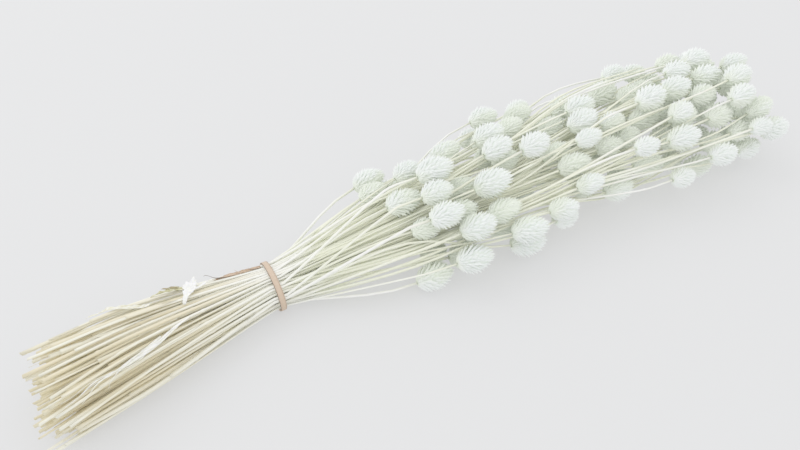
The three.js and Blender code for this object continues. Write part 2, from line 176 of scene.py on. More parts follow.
def strawMaterial():
    # Cream at the cut ends and near white towards the heads, with painted shade, golden or green, where a
    # stem lies deep in the bunch. Random stains take the same golden or green
    material, tree, shader = newMaterial("bleached straw")
    place = addNode(tree, "ShaderNodeTexCoord").outputs["Object"]
    split = addNode(tree, "ShaderNodeSeparateXYZ")
    tree.links.new(place, split.inputs[0])
    along = split.outputs["X"]
    upper = mapRange(tree, along, *(bandMiddle.x + offset for offset in strawLook["whitenRange"]))
    outer = mixColours(tree, upper, strawLook["outerCut"], strawLook["outerUpper"])
    deep = mixColours(tree, upper, strawLook["shadeAndStainCut"], strawLook["shadeAndStainUpper"])
    # A few stems are tanned on their cut side
    tanned = mapRange(tree, readAttribute(tree, "tone"), *strawLook["tannedRange"])
    below = mapRange(tree, along, *(bandMiddle.x + offset for offset in strawLook["belowRange"]))
    outer = mixColours(tree, calculate(tree, "MULTIPLY", tanned, below), outer, strawLook["tanned"])
    streaks = stretchedNoise(tree, strawLook["streakScale"])
    patches = stretchedNoise(tree, strawLook["patchScale"], detail=2.0)
    # Painted shade: the deeper a place lies in the bunch, the more it takes the shade colour, which the
    # stains share
    paintedShade = mapRange(tree, readAttribute(tree, "depth"), *strawLook["paintedShadeRange"])
    stain = mapRange(tree, patches, *strawLook["stainRange"])
    share = calculate(tree, "MINIMUM", calculate(tree, "ADD", paintedShade, stain), 1.0)
    colour = mixColours(tree, share, outer, deep)
    grain = mixColours(tree, mapRange(tree, streaks, *strawLook["grainRange"]), *strawLook["grain"])
    colour = mixColours(tree, strawLook["grainShare"], colour, grain, "MULTIPLY")
    tree.links.new(colour, shader.inputs["Base Color"])
    varyRoughness(tree, shader, streaks, strawLook["roughness"])
    addBump(tree, shader, streaks, *strawLook["bump"])
    return material


glumeLook = {
    # Green at the glumes' roots, partly their own colour and partly painted shade between the glumes
    "base": (0.77, 0.84, 0.69),
    "face": (0.88, 0.92, 0.90),
    "tip": (0.93, 0.95, 0.945),
    # Painted shade for heads that lie deep in the bunch
    "deep": (0.83, 0.88, 0.75),
    "vein": ((0.80, 0.86, 0.72), (1.0, 1.0, 1.0)),
    "veinShare": 0.2,
    "veinRange": (0.35, 0.65),
    "faceRange": (0.0, 0.45),
    "tipRange": (0.35, 0.95),
    "toneRange": (0.2, 1.0, 0.0, 0.3),
    "paintedShadeRange": (0.35, 1.0, 0.0, 0.75),
    "fibreScale": (500.0, 900.0, 900.0),
    "roughness": (0.65, 0.85),
    "bump": (0.2 * mm, 0.4),
}


def glumeMaterial():
    # Minty white glumes, green towards their roots, partly their own colour and partly painted shade between
    # them, and with painted shade where the head lies deep in the bunch
    material, tree, shader = newMaterial("canary grass glumes")
    tip = readAttribute(tree, "tip")
    low = mapRange(tree, tip, *glumeLook["faceRange"])
    high = mapRange(tree, tip, *glumeLook["tipRange"])
    colour = mixColours(tree, low, glumeLook["base"], glumeLook["face"])
    colour = mixColours(tree, high, colour, glumeLook["tip"])
    fibres = stretchedNoise(tree, glumeLook["fibreScale"])
    toned = mapRange(tree, readAttribute(tree, "tone"), *glumeLook["toneRange"])
    colour = mixColours(tree, toned, colour, glumeLook["face"], "MULTIPLY")
    # Painted shade: heads deep in the bunch turn greener
    paintedShade = mapRange(tree, readAttribute(tree, "depth"), *glumeLook["paintedShadeRange"])
    colour = mixColours(tree, paintedShade, colour, glumeLook["deep"])
    veins = mixColours(tree, mapRange(tree, fibres, *glumeLook["veinRange"]), *glumeLook["vein"])
    colour = mixColours(tree, glumeLook["veinShare"], colour, veins, "MULTIPLY")
    tree.links.new(colour, shader.inputs["Base Color"])
    varyRoughness(tree, shader, fibres, glumeLook["roughness"])
    addBump(tree, shader, fibres, *glumeLook["bump"])
    return material


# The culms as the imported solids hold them

culmReading = {
    "seatHalfLength": 3.9 * mm,
    "sameVertex": 0.001 * mm,
    "evenX": 0.02 * mm,  # no ring of a stem spreads further along X
    "thickest": 2.2 * mm,
    "ringCorners": 3,
    "tipOvershoot": 1.04,  # the last scale ends this many head lengths from the root
    "widestShare": 0.981,  # the scales reach this share of the head's radius
}


def splitIslands(solid):
    # The sets of joined vertices, always in the same order
    left = set(solid.verts)
    islands = []
    for start in solid.verts:
        if start not in left:
            continue
        left.remove(start)
        found = [start]
        for vert in found:
            for edge in vert.link_edges:
                other = edge.other_vert(vert)
                if other in left:
                    left.remove(other)
                    found.append(other)
        islands.append(found)
    return islands


def readRings(island):
    # The stem's rings stand square to X; the first vertices that make no such ring begin the head
    corners = culmReading["ringCorners"]
    places = sorted((vert.co.copy() for vert in island), key=lambda place: place.x)
    rings = []
    while len(places) >= corners:
        ring = places[:corners]
        middle = sum(ring, Vector()) / corners
        radius = max((place - middle).length for place in ring)
        if ring[-1].x - ring[0].x > culmReading["evenX"] or radius > culmReading["thickest"]:
            break
        rings.append((middle, radius))
        places = places[corners:]
    return rings, places


def readCulms(node):
    solid = bmesh.new()
    solid.from_mesh(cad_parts[node].data)
    bmesh.ops.remove_doubles(solid, verts=solid.verts, dist=culmReading["sameVertex"])
    seat = [vert for vert in solid.verts if abs(vert.co.x - bandMiddle.x) < culmReading["seatHalfLength"]]
    bmesh.ops.delete(solid, geom=seat, context="VERTS")
    runs = []
    for island in splitIslands(solid):
        rings, scales = readRings(island)
        runs.append({"rings": rings, "scales": scales})
    solid.free()
    # Where the seat parts a stem all round, its two halves lie in line
    cutHalves = [run for run in runs if run["rings"][-1][0].x < bandMiddle.x]
    culms = []
    for run in runs:
        start = run["rings"][0][0]
        if run in cutHalves:
            continue
        if start.x > bandMiddle.x:
            lower = min(cutHalves, key=lambda other: (other["rings"][-1][0].yz - start.yz).length)
            run["rings"] = lower["rings"] + run["rings"]
        culms.append(makeCulm(run["rings"], run["scales"]))
    return culms


def makeCulm(rings, scales):
    culm = {"places": [middle for middle, radius in rings], "radii": [radius for middle, radius in rings]}
    culm["head"] = None
    if scales:
        base = culm["places"][-1]
        peak = max(scales, key=lambda place: (place - base).length)
        axis = (peak - base).normalized()
        widest = max(((place - base) - axis * (place - base).dot(axis)).length for place in scales)
        culm["head"] = {
            "base": base,
            "axis": axis,
            "length": (peak - base).length / culmReading["tipOvershoot"],
            "radius": widest / culmReading["widestShare"],
        }
    return culm


culmNodes = sorted(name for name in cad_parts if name.startswith("culms_"))
tufts = {name: readCulms(name) for name in culmNodes}
allCulms = [culm for culms in tufts.values() for culm in culms]
print("culms read:", len(allCulms), "with heads:", sum(1 for culm in allCulms if culm["head"]))


# Courses and tubes

def smoothCourse(places, values, perSegment, endDirection=None, shortest=20 * mm):
    # A smooth run through the places, with the values drawn evenly between them.
    # Stretches up to the shortest length stay straight
    tangents = []
    for index, place in enumerate(places):
        before = places[max(index - 1, 0)]
        after = places[min(index + 1, len(places) - 1)]
        tangents.append((after - before).normalized())
    if endDirection is not None:
        tangents[-1] = endDirection
    course = [(places[0], values[0])]
    for index in range(len(places) - 1):
        start, end = places[index], places[index + 1]
        pull = (end - start).length / 3
        steps = perSegment if (end - start).length > shortest else 1
        run = interpolate_bezier(start, start + tangents[index] * pull, end - tangents[index + 1] * pull, end,
                                 steps + 1)
        for step in range(1, steps + 1):
            value = values[index] + (values[index + 1] - values[index]) * step / steps
            course.append((run[step], value))
    return course


def ringMatrix(place, direction, sideways, width, height):
    forward = direction.normalized()
    side = (sideways - forward * sideways.dot(forward)).normalized()
    up = forward.cross(side)
    turn = Matrix((side, up, forward)).transposed().to_4x4()
    return Matrix.Translation(place) @ turn @ Matrix.Diagonal((width, height, 1.0, 1.0))


def growTube(matrices, sides):
    # A closed tube: a circle set at the first matrix and extruded to each next one
    tube = bmesh.new()
    bmesh.ops.create_circle(tube, segments=sides, radius=1.0, matrix=matrices[0], cap_ends=True)
    edges = list(tube.edges)
    for before, after in zip(matrices, matrices[1:]):
        grown = bmesh.ops.extrude_edge_only(tube, edges=edges)["geom"]
        ring = [item for item in grown if isinstance(item, bmesh.types.BMVert)]
        edges = [item for item in grown if isinstance(item, bmesh.types.BMEdge)]
        bmesh.ops.transform(tube, matrix=after @ before.inverted(), verts=ring)
    bmesh.ops.edgeloop_fill(tube, edges=edges)
    bmesh.ops.remove_doubles(tube, verts=tube.verts, dist=mergeDistance)
    bmesh.ops.recalc_face_normals(tube, faces=tube.faces)
    return tube


def courseMatrices(course, sideways, flatten=1.0):
    matrices = []
    for index, (place, radius) in enumerate(course):
        before = course[max(index - 1, 0)][0]
        after = course[min(index + 1, len(course) - 1)][0]
        matrices.append(ringMatrix(place, after - before, sideways, radius, radius * flatten))
    return matrices


def joinTo(piece, part):
    mesh = bpy.data.meshes.new("part")
    part.to_mesh(mesh)
    part.free()
    piece.from_mesh(mesh)
    bpy.data.meshes.remove(mesh)


def addTo(piece, part, tone):
    # Adds a smooth part to a piece's mesh, in its first material and with one tone
    toneLayer = part.verts.layers.float.new("tone")
    for vert in part.verts:
        vert[toneLayer] = tone
    for face in part.faces:
        face.smooth = True
    joinTo(piece, part)


def newPiece():
    # The tone tells stems, glumes and leaves apart, and the tip tells how far out of its head a glume stands
    piece = bmesh.new()
    piece.verts.layers.float.new("tone")
    piece.verts.layers.float.new("tip")
    return piece


def giveThickness(sheet, thickness):
    # An open sheet becomes a thin closed leaf
    bmesh.ops.recalc_face_normals(sheet, faces=sheet.faces)
    grown = bmesh.ops.extrude_face_region(sheet, geom=list(sheet.faces), use_keep_orig=True)["geom"]
    sheet.normal_update()
    for vert in grown:
        if isinstance(vert, bmesh.types.BMVert):
            vert.co += vert.normal * thickness
    bmesh.ops.recalc_face_normals(sheet, faces=sheet.faces)


# How deep in the bunch a place lies, the mask of the painted shade in the straw and the glumes

depthLook = {
    "binLength": 14 * mm,
    "sectors": 20,
    "besideShare": 0.92,
    "deepest": 14 * mm,
    "courseSteps": 8,
    "headSteps": 5,
}
headOutline = {"lowness": 0.85, "fullness": 0.6}


def outlineSamples():
    samples = []
    for culm in allCulms:
        for place, radius in smoothCourse(culm["places"], culm["radii"], depthLook["courseSteps"]):
            samples.append((*place, radius))
        head = culm["head"]
        if head:
            for step in range(depthLook["headSteps"]):
                share = (step + 0.5) / depthLook["headSteps"]
                place = head["base"] + head["axis"] * head["length"] * share
                samples.append((*place, head["radius"] * headProfile(share)))
    return np.array(samples)


def headProfile(share):
    # A head's radius at a share of its length, widest a little below the middle
    along = max(min(share, 1.0), 0.0) ** headOutline["lowness"]
    return math.sin(math.pi * along) ** headOutline["fullness"]


def buildReach(samples):
    # The bunch's middle and how far it reaches in each direction, from its cut ends to its last heads
    bins = np.floor((samples[:, 0] - cadBox[0].x) / depthLook["binLength"]).astype(int)
    count = bins.max() + 1
    middles = np.zeros((count, 2))
    reach = np.zeros((count, depthLook["sectors"]))
    for number in range(count):
        near = samples[np.abs(bins - number) <= 1]
        if len(near) == 0:
            middles[number] = middles[number - 1]
            continue
        middles[number] = near[:, 1:3].mean(axis=0)
        offset = near[:, 1:3] - middles[number]
        out = np.hypot(offset[:, 0], offset[:, 1]) + near[:, 3]
        sector = sectorOf(offset)
        for turn, share in ((-1, depthLook["besideShare"]), (0, 1.0), (1, depthLook["besideShare"])):
            np.maximum.at(reach[number], (sector + turn) % depthLook["sectors"], out * share)
    return middles, reach


def sectorOf(offset):
    angle = np.arctan2(offset[:, 1], offset[:, 0]) / (2 * math.pi) + 0.5
    return np.floor(angle * depthLook["sectors"]).astype(int) % depthLook["sectors"]


bunchMiddles, bunchReach = buildReach(outlineSamples())


def paintDepth(mesh):
    places = np.zeros(len(mesh.vertices) * 3)
    mesh.vertices.foreach_get("co", places)
    places = places.reshape(-1, 3)
    # Half a bin back, because the readings stand at the bins' middles
    along = (places[:, 0] - cadBox[0].x) / depthLook["binLength"] - 0.5
    number = np.clip(np.floor(along).astype(int), 0, len(bunchMiddles) - 2)
    share = np.clip(along - number, 0.0, 1.0)
    middle = bunchMiddles[number] * (1 - share[:, None]) + bunchMiddles[number + 1] * share[:, None]
    offset = places[:, 1:3] - middle
    sector = sectorOf(offset)
    outermost = bunchReach[number, sector] * (1 - share) + bunchReach[number + 1, sector] * share
    depth = np.clip((outermost - np.hypot(offset[:, 0], offset[:, 1])) / depthLook["deepest"], 0.0, 1.0)
    layer = mesh.attributes.new("depth", "FLOAT", "POINT")
    layer.data.foreach_set("value", depth.astype(np.float32))


# Stems

stemPlan = {
    "sides": 8,
    "perSegment": 5,
    "hollowDepth": 7 * mm,
    "hollowShare": 0.62,
    "firstNode": (30 * mm, 110 * mm),
    "nodeSpacing": 105 * mm,
    "spacingChange": (0.85, 1.2),
    "nodeLength": 1.6 * mm,
    "nodeRoom": 4,
    "nodeMargin": 0.02,
    "nodeOutline": ((-1.0, 1.0), (-0.3, 1.22), (0.3, 1.22), (1.0, 1.0)),  # node lengths along, and swelling
    "cutSlant": 0.5,
    "fullness": 1.12,
    "slimmest": 0.58,
    "slimming": 0.6,
    "flattest": 0.55,
    "turnWithTone": 40,
}


def swellNodes(course, firstNode):
    # Adds a short swelling at each of the stem's nodes
    nodeLength = stemPlan["nodeLength"]
    swollen = []
    travelled = 0.0
    nextNode = firstNode
    for (place, radius), (nextPlace, nextRadius) in zip(course, course[1:]):
        swollen.append((place, radius))
        length = (nextPlace - place).length
        if travelled + length > nextNode and length > nodeLength * stemPlan["nodeRoom"]:
            share = (nextNode - travelled) / length
            for offset, swell in stemPlan["nodeOutline"]:
                at = share + offset * nodeLength / length
                if stemPlan["nodeMargin"] < at < 1 - stemPlan["nodeMargin"]:
                    swollen.append((place.lerp(nextPlace, at), (radius + (nextRadius - radius) * at) * swell))
            nextNode += stemPlan["nodeSpacing"] * draw.uniform(*stemPlan["spacingChange"])
        travelled += length
    swollen.append(course[-1])
    return swollen


def cutShape(place, slim):
    # From the band up a stem fills the room round its solid, and it dries to a width of its own at its cut
    towardsCut = min(max((bandMiddle.x - place.x) / (bandMiddle.x - cadBox[0].x), 0.0), 1.0)
    return stemPlan["fullness"] + (slim - stemPlan["fullness"]) * towardsCut ** stemPlan["slimming"]


sheathPlan = {
    "share": 0.5,
    "wrap": 2.6,
    "thickness": 0.16 * mm,
    "standOff": 1.25,
    "columns": 5,
    "steps": 16,
    "shortest": 25 * mm,
    "longest": 80 * mm,
    "latestStart": 60 * mm,
    "mostTurned": 0.9,
    "loosest": 0.5,
    "tear": (0.1, 0.45),
    "tearWaves": 3,
    "tearShift": 9,
    "narrowing": 0.7,
}


def courseAt(course, travelled):
    # The place, radius and direction at a distance along a course
    for (place, radius), (nextPlace, nextRadius) in zip(course, course[1:]):
        length = (nextPlace - place).length
        if travelled <= length and length > 0:
            share = travelled / length
            return place.lerp(nextPlace, share), radius + (nextRadius - radius) * share, nextPlace - place
        travelled -= length
    return course[-1][0], course[-1][1], course[-1][0] - course[-2][0]


def addSheath(piece, course):
    # A dry leaf sheath still wrapped half round its stem, split and torn at its end
    start = draw.uniform(0.0, sheathPlan["latestStart"])
    length = draw.uniform(sheathPlan["shortest"], sheathPlan["longest"])
    facing = draw.uniform(-sheathPlan["mostTurned"], sheathPlan["mostTurned"])
    loose = draw.uniform(0.0, sheathPlan["loosest"])
    tear = draw.uniform(*sheathPlan["tear"])
    sheet = bmesh.new()
    bmesh.ops.create_grid(sheet, x_segments=sheathPlan["columns"], y_segments=sheathPlan["steps"], size=1.0)
    for vert in sheet.verts:
        run = (vert.co.y + 1) / 2
        wave = math.sin(vert.co.x * sheathPlan["tearWaves"] + facing * sheathPlan["tearShift"])
        torn = 1 - tear * abs(wave) * run
        place, radius, direction = courseAt(course, start + length * run * torn)
        frameHere = ringMatrix(place, direction, Vector((0, 1, 0)), 1.0, 1.0)
        narrowing = 1 - sheathPlan["narrowing"] * run ** 3
        angle = math.pi / 2 + facing + vert.co.x * sheathPlan["wrap"] / 2 * narrowing
        out = radius * (sheathPlan["standOff"] + loose * abs(vert.co.x) * (1 - run))
        vert.co = frameHere @ Vector((math.cos(angle) * out, math.sin(angle) * out, 0))
    giveThickness(sheet, sheathPlan["thickness"])
    addTo(piece, sheet, draw.uniform(0.0, 1.0))


fibrePlan = {
    "share": 0.6,
    "width": 0.16 * mm,
    "taper": 0.7,
    "shortest": 18 * mm,
    "longest": 60 * mm,
    "latestStart": 90 * mm,
    "towardsCut": 0.6,
    "stray": 0.16,
    "strayUp": (-0.3, 0.5),
    "strayAfter": 3,
    "bends": 6,
    "fewest": 3,
}


def addFibre(piece, course):
    # A fine strand that has come off its stem and strays from it, as far as the solids' box
    start = draw.uniform(0.0, fibrePlan["latestStart"])
    length = draw.uniform(fibrePlan["shortest"], fibrePlan["longest"])
    place, radius, direction = courseAt(course, start)
    towards = direction.normalized()
    if draw.random() < fibrePlan["towardsCut"]:
        towards = -towards
    aside = Vector((0, draw.uniform(-1, 1), draw.uniform(*fibrePlan["strayUp"]))) * fibrePlan["stray"]
    place = place + Vector((0, 0, radius))
    bends = fibrePlan["bends"]
    strand = []
    for bend in range(bends + 1):
        strand.append((place.copy(), fibrePlan["width"] * (1 - fibrePlan["taper"] * bend / bends)))
        place = place + (towards + aside * bend / fibrePlan["strayAfter"]).normalized() * length / bends
        place.z = max(place.z, fibrePlan["width"])
        if place.x < cadBox[0].x or not cadBox[0].y < place.y < cadBox[1].y:
            break
    if len(strand) < fibrePlan["fewest"]:
        return
    addTo(piece, growTube(courseMatrices(strand, Vector((0, 1, 0))), 3), draw.uniform(0.0, 0.5))


def addStem(piece, culm, tone):
    endDirection = culm["head"]["axis"] if culm["head"] else None
    course = smoothCourse(culm["places"], culm["radii"], stemPlan["perSegment"], endDirection)
    slim = draw.uniform(stemPlan["slimmest"], 1.0)
    course = [(place, radius * cutShape(place, slim)) for place, radius in course]
    course = swellNodes(course, draw.uniform(*stemPlan["firstNode"]))
    turn = tone * stemPlan["turnWithTone"]
    sideways = Vector((0, math.cos(turn), math.sin(turn)))
    matrices = courseMatrices(course, sideways, draw.uniform(stemPlan["flattest"], 1.0))
    # The tube begins inside its own cut end, comes out to the slanted rim and runs on from there
    inside = (course[1][0] - course[0][0]).normalized() * stemPlan["hollowDepth"]
    narrow = Matrix.Diagonal((stemPlan["hollowShare"], stemPlan["hollowShare"], 1.0, 1.0))
    slants = tuple(draw.uniform(-1, 1) * stemPlan["cutSlant"] for axis in "XY")
    slant = Matrix.Shear("XY", 4, slants).transposed()
    rim = matrices[0] @ Matrix.Diagonal((1.0, 1.0, course[0][1], 1.0)) @ slant
    hollow = [Matrix.Translation(inside) @ matrices[0] @ narrow, rim @ narrow, rim]
    addTo(piece, growTube(hollow + matrices[1:], stemPlan["sides"]), tone)
    if draw.random() < sheathPlan["share"]:
        addSheath(piece, course)
    if draw.random() < fibrePlan["share"]:
        addFibre(piece, course)


# Heads

headPlan = {
    "variants": 6,
    "seed": 100,
    "length": 27 * mm,
    "radius": 10 * mm,
    "glumes": 190,
    "glumeLength": 6.384 * mm,
    "glumeWidth": 2.3 * mm,
    "glumeDepth": 1.5 * mm,
    "glumeOutline": ((0.0, 0.45, 0.0), (0.4, 1.0, 0.15), (0.75, 0.62, 0.35), (1.0, 0.0, 0.95)),
    "lowestTip": 0.07,
    "lowestRoot": 0.015,
    "highestReach": 0.985,
    "rootReach": 0.52,
    "tipReach": (0.86, 0.97),
    "turnChange": 0.12,
    "tipChange": (-0.01, 0.02),
    "widthChange": (0.85, 1.15),
    "endWidth": 0.7,
    "addedWidth": 0.45,  # halfway up the head
    "coreShare": 0.74,
    "coreSegments": 10,
    "coreRings": 6,
    "coreStart": 0.02,
    "coreLength": 0.9,
    # Inside this share of the head's radius a glume is painted root green, partly shade, and beyond it it
    # pales towards the tips
    "paleFrom": 0.62,
    "paleOver": 0.4,
    "headTone": 0.35,
}
goldenAngle = math.pi * (3 - math.sqrt(5))


def glumeTemplate():
    # A keeled boat of unit length along +Z, its keel and its turned-out tip towards +Y
    matrices = []
    for along, width, lift in headPlan["glumeOutline"]:
        place = Vector((0, lift * headPlan["glumeDepth"], along))
        size = max(width, 0.001) / 2
        matrices.append(ringMatrix(place, Vector((0, 0, 1)), Vector((1, 0, 0)),
                                   size * headPlan["glumeWidth"], size * headPlan["glumeDepth"]))
    return growTube(matrices, 4)


def glumeMatrix(source, index):
    # Lays a glume on the head, its root deep inside and its tip near the outline
    length, radius = headPlan["length"], headPlan["radius"]
    share = (index + 0.5) / headPlan["glumes"]
    tipShare = headPlan["lowestTip"] + (1 - headPlan["lowestTip"]) * share
    rootShare = max(tipShare - headPlan["glumeLength"] / length, headPlan["lowestRoot"])
    turn = index * goldenAngle + source.uniform(-headPlan["turnChange"], headPlan["turnChange"])
    outward = Vector((math.cos(turn), math.sin(turn), 0))
    tipReach = headProfile(min(tipShare, headPlan["highestReach"])) * source.uniform(*headPlan["tipReach"])
    rootReach = headProfile(rootShare) * headPlan["rootReach"]
    tipHeight = (tipShare + source.uniform(*headPlan["tipChange"])) * length
    tip = outward * tipReach * radius + Vector((0, 0, tipHeight))
    root = outward * rootReach * radius + Vector((0, 0, rootShare * length))
    run = tip - root
    side = Vector((-outward.y, outward.x, 0))
    keel = side.cross(run).normalized()
    turned = Matrix((side, keel, run.normalized())).transposed().to_4x4()
    wide = headPlan["endWidth"] + headPlan["addedWidth"] * math.sin(math.pi * share)
    wide *= source.uniform(*headPlan["widthChange"])
    return Matrix.Translation(root) @ turned @ Matrix.Diagonal((wide, wide, run.length, 1.0))


def addCore(head, toneLayer):
    # The middle between the glumes, in the head's own outline, dark with the glumes' root green, partly their
    # own colour and partly painted shade
    core = bmesh.ops.create_uvsphere(head, u_segments=headPlan["coreSegments"],
                                     v_segments=headPlan["coreRings"], radius=1.0)["verts"]
    for vert in core:
        share = (vert.co.z + 1) / 2 * headPlan["coreLength"] + headPlan["coreStart"]
        flat = Vector((vert.co.x, vert.co.y, 0))
        outward = flat.normalized() if flat.length > 0.01 else Vector()
        size = headProfile(share) * headPlan["coreShare"] * headPlan["radius"]
        vert.co = outward * size + Vector((0, 0, share * headPlan["length"]))
        vert[toneLayer] = 0.5


def headVariant(number):
    # A head of the usual size, standing on the origin along +Z
    source = random.Random(headPlan["seed"] + number)
    glume = glumeTemplate()
    template = bpy.data.meshes.new("glume")
    glume.to_mesh(template)
    glume.free()
    head = bmesh.new()
    toneLayer = head.verts.layers.float.new("tone")
    for index in range(headPlan["glumes"]):
        before = len(head.verts)
        head.from_mesh(template)
        head.verts.ensure_lookup_table()
        verts = head.verts[before:]
        bmesh.ops.transform(head, matrix=glumeMatrix(source, index), verts=verts)
        tone = source.random()
        for vert in verts:
            vert[toneLayer] = tone
    addCore(head, toneLayer)
    bmesh.ops.recalc_face_normals(head, faces=head.faces)
    mesh = bpy.data.meshes.new("head")
    head.to_mesh(mesh)
    head.free()
    bpy.data.meshes.remove(template)
    return mesh


def glumeTip(place):
    # 0 deep between the glumes, 1 on the tips that stand out of the head. The low end is painted green,
    # partly the glumes' own colour and partly painted shade
    share = min(max(place.z / headPlan["length"], 0.03), 0.97)
    out = math.hypot(place.x, place.y) / headPlan["radius"] / max(headProfile(share), 0.2)
    return min(max((out - headPlan["paleFrom"]) / headPlan["paleOver"], 0.0), 1.0)


variants = [headVariant(number) for number in range(headPlan["variants"])]
headTriangles = sum(len(face.vertices) - 2 for face in variants[0].polygons)
print("head variants:", len(variants), "triangles each:", headTriangles)


def addHead(piece, head, tone):
    part = bmesh.new()
    part.from_mesh(draw.choice(variants))
    tipLayer = part.verts.layers.float.new("tip")
    toneLayer = part.verts.layers.float.get("tone")
    toneShare = headPlan["headTone"]
    for vert in part.verts:
        vert[tipLayer] = glumeTip(vert.co)
        vert[toneLayer] = (1 - toneShare) * vert[toneLayer] + toneShare * tone
    turned = Matrix.Rotation(draw.uniform(0, 2 * math.pi), 4, "Z")
    wide = head["radius"] / headPlan["radius"]
    size = Matrix.Diagonal((wide, wide, head["length"] / headPlan["length"], 1.0))
    upright = ringMatrix(head["base"], head["axis"], Vector((0, 1, 0)), 1.0, 1.0)
    bmesh.ops.transform(part, matrix=upright @ size @ turned, verts=part.verts)
    for face in part.faces:
        face.material_index = 1
        face.smooth = False
    joinTo(piece, part)


def finishPiece(piece, name, materials, replaced=None):
    mesh = bpy.data.meshes.new(name)
    piece.to_mesh(mesh)
    piece.free()
    for material in materials:
        mesh.materials.append(material)
    paintDepth(mesh)
    finished = bpy.data.objects.new(name, mesh)
    bpy.context.scene.collection.objects.link(finished)
    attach(finished, "root")
    if replaced:
        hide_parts(replaced)
    return finished


straw = strawMaterial()
glumes = glumeMaterial()
for node, culms in tufts.items():
    piece = newPiece()
    for culm in culms:
        tone = draw.random()
        addStem(piece, culm, tone)
        if culm["head"]:
            addHead(piece, culm["head"], draw.random())
    finishPiece(piece, node.replace("culms", "tuft"), [straw, glumes], node)
print("tufts made:", len(tufts))


# Rubber band

bandPlan = {
    "wall": 1.2 * mm,
    "acrossCuts": 16,
    "rimShare": 0.95,
    "around": 140,
    "ribs": 5,
    "ribHeight": 0.04 * mm,
    "bumps": 31,
    "bumpHeight": 0.05 * mm,
    # Painted highlight colour for the band's middle, and below it the painted shade colour for its edges
    "centre": (0.60, 0.44, 0.30),
    "edge": (0.54, 0.38, 0.26),
    "worn": (0.70, 0.54, 0.40),
    "centreRange": (0.0, 0.85),
    "wornRange": (0.5, 0.75, 0.0, 0.55),
    "dustScale": (900.0, 260.0, 260.0),
    "grainScale": (2600.0, 160.0, 160.0),
    "roughness": (0.42, 0.65),
    "bump": (0.2 * mm, 0.5),
}


def rubberMaterial():
    # Painted highlight along the band's middle and painted shade at its edges; the worn, dusty patches are
    # the rubber's own
    material, tree, shader = newMaterial("tan rubber")
    towardsHighlight = mapRange(tree, readAttribute(tree, "tip"), *bandPlan["centreRange"])
    colour = mixColours(tree, towardsHighlight, bandPlan["edge"], bandPlan["centre"])
    dust = stretchedNoise(tree, bandPlan["dustScale"])
    worn = mapRange(tree, dust, *bandPlan["wornRange"])
    colour = mixColours(tree, worn, colour, bandPlan["worn"])
    tree.links.new(colour, shader.inputs["Base Color"])
    varyRoughness(tree, shader, dust, bandPlan["roughness"])
    addBump(tree, shader, stretchedNoise(tree, bandPlan["grainScale"]), *bandPlan["bump"])
    return material


def makeBand():
    # A strip's cross-section is spun into a ring, and the ring is pressed to the oval of the waist
    wall = bandPlan["wall"]
    halfWidth = (bandHigh.x - bandLow.x) / 2
    outer = (bandHigh - bandLow) / 2
    ring = bmesh.new()
    tipLayer = ring.verts.layers.float.new("tip")
    toneLayer = ring.verts.layers.float.new("tone")
    bmesh.ops.create_grid(ring, x_segments=bandPlan["acrossCuts"], y_segments=2, size=1.0)
    for vert in ring.verts:
        fromEdge = (1 - abs(vert.co.x)) * halfWidth / (wall / 2)
        rounding = math.sqrt(max(0.0, 1 - (1 - min(fromEdge, 1.0)) ** 2))
        rib = math.cos(vert.co.x * math.pi * bandPlan["ribs"]) * bandPlan["ribHeight"] * max(vert.co.y, 0.0)
        # The tip layer holds the share towards the strip's middle, the mask of the painted highlight
        vert[tipLayer] = 1 - abs(vert.co.x)
        vert[toneLayer] = 0.5
        vert.co = Vector((vert.co.x * halfWidth, 0, outer.z + vert.co.y * rounding * wall / 2 + rib))
    bmesh.ops.delete(ring, geom=list(ring.faces), context="FACES_ONLY")
    # The strip's middle line goes, except at its rims. Its cross lines stay, as faces hidden in the wall
    inside = []
    for edge in ring.edges:
        height = sum(vert.co.z for vert in edge.verts) / 2
        furthest = max(abs(vert.co.x) for vert in edge.verts)
        if abs(height - outer.z) < wall / 8 and furthest < halfWidth * bandPlan["rimShare"]:
            inside.append(edge)
    bmesh.ops.delete(ring, geom=inside, context="EDGES")
    bmesh.ops.remove_doubles(ring, verts=ring.verts, dist=mergeDistance)
    bmesh.ops.spin(ring, geom=list(ring.verts) + list(ring.edges), cent=(0, 0, 0), axis=(1, 0, 0),
                   dvec=(0, 0, 0), angle=2 * math.pi, steps=bandPlan["around"], use_merge=True)
    for vert in ring.verts:
        turn = math.atan2(vert.co.y, vert.co.z)
        offset = math.hypot(vert.co.y, vert.co.z) - outer.z - wall / 2
        offset += math.sin(turn * bandPlan["bumps"]) * bandPlan["bumpHeight"] - bandPlan["bumpHeight"]
        vert.co = bandMiddle + Vector((vert.co.x, math.sin(turn) * (outer.y + offset),
                                       math.cos(turn) * (outer.z + offset)))
    bmesh.ops.recalc_face_normals(ring, faces=ring.faces)
    for face in ring.faces:
        face.smooth = True
    finishPiece(ring, "band_of_rubber", [rubberMaterial()], "rubber_band")


makeBand()
print("rubber band made")


# Loose leaves: each course gives along and across from the band's middle, width and roll, as in the solids,
# and each strip a part of that leaf: from and to along it, left and right across it, how its tip strays
# forward, sideways and up, and its tone

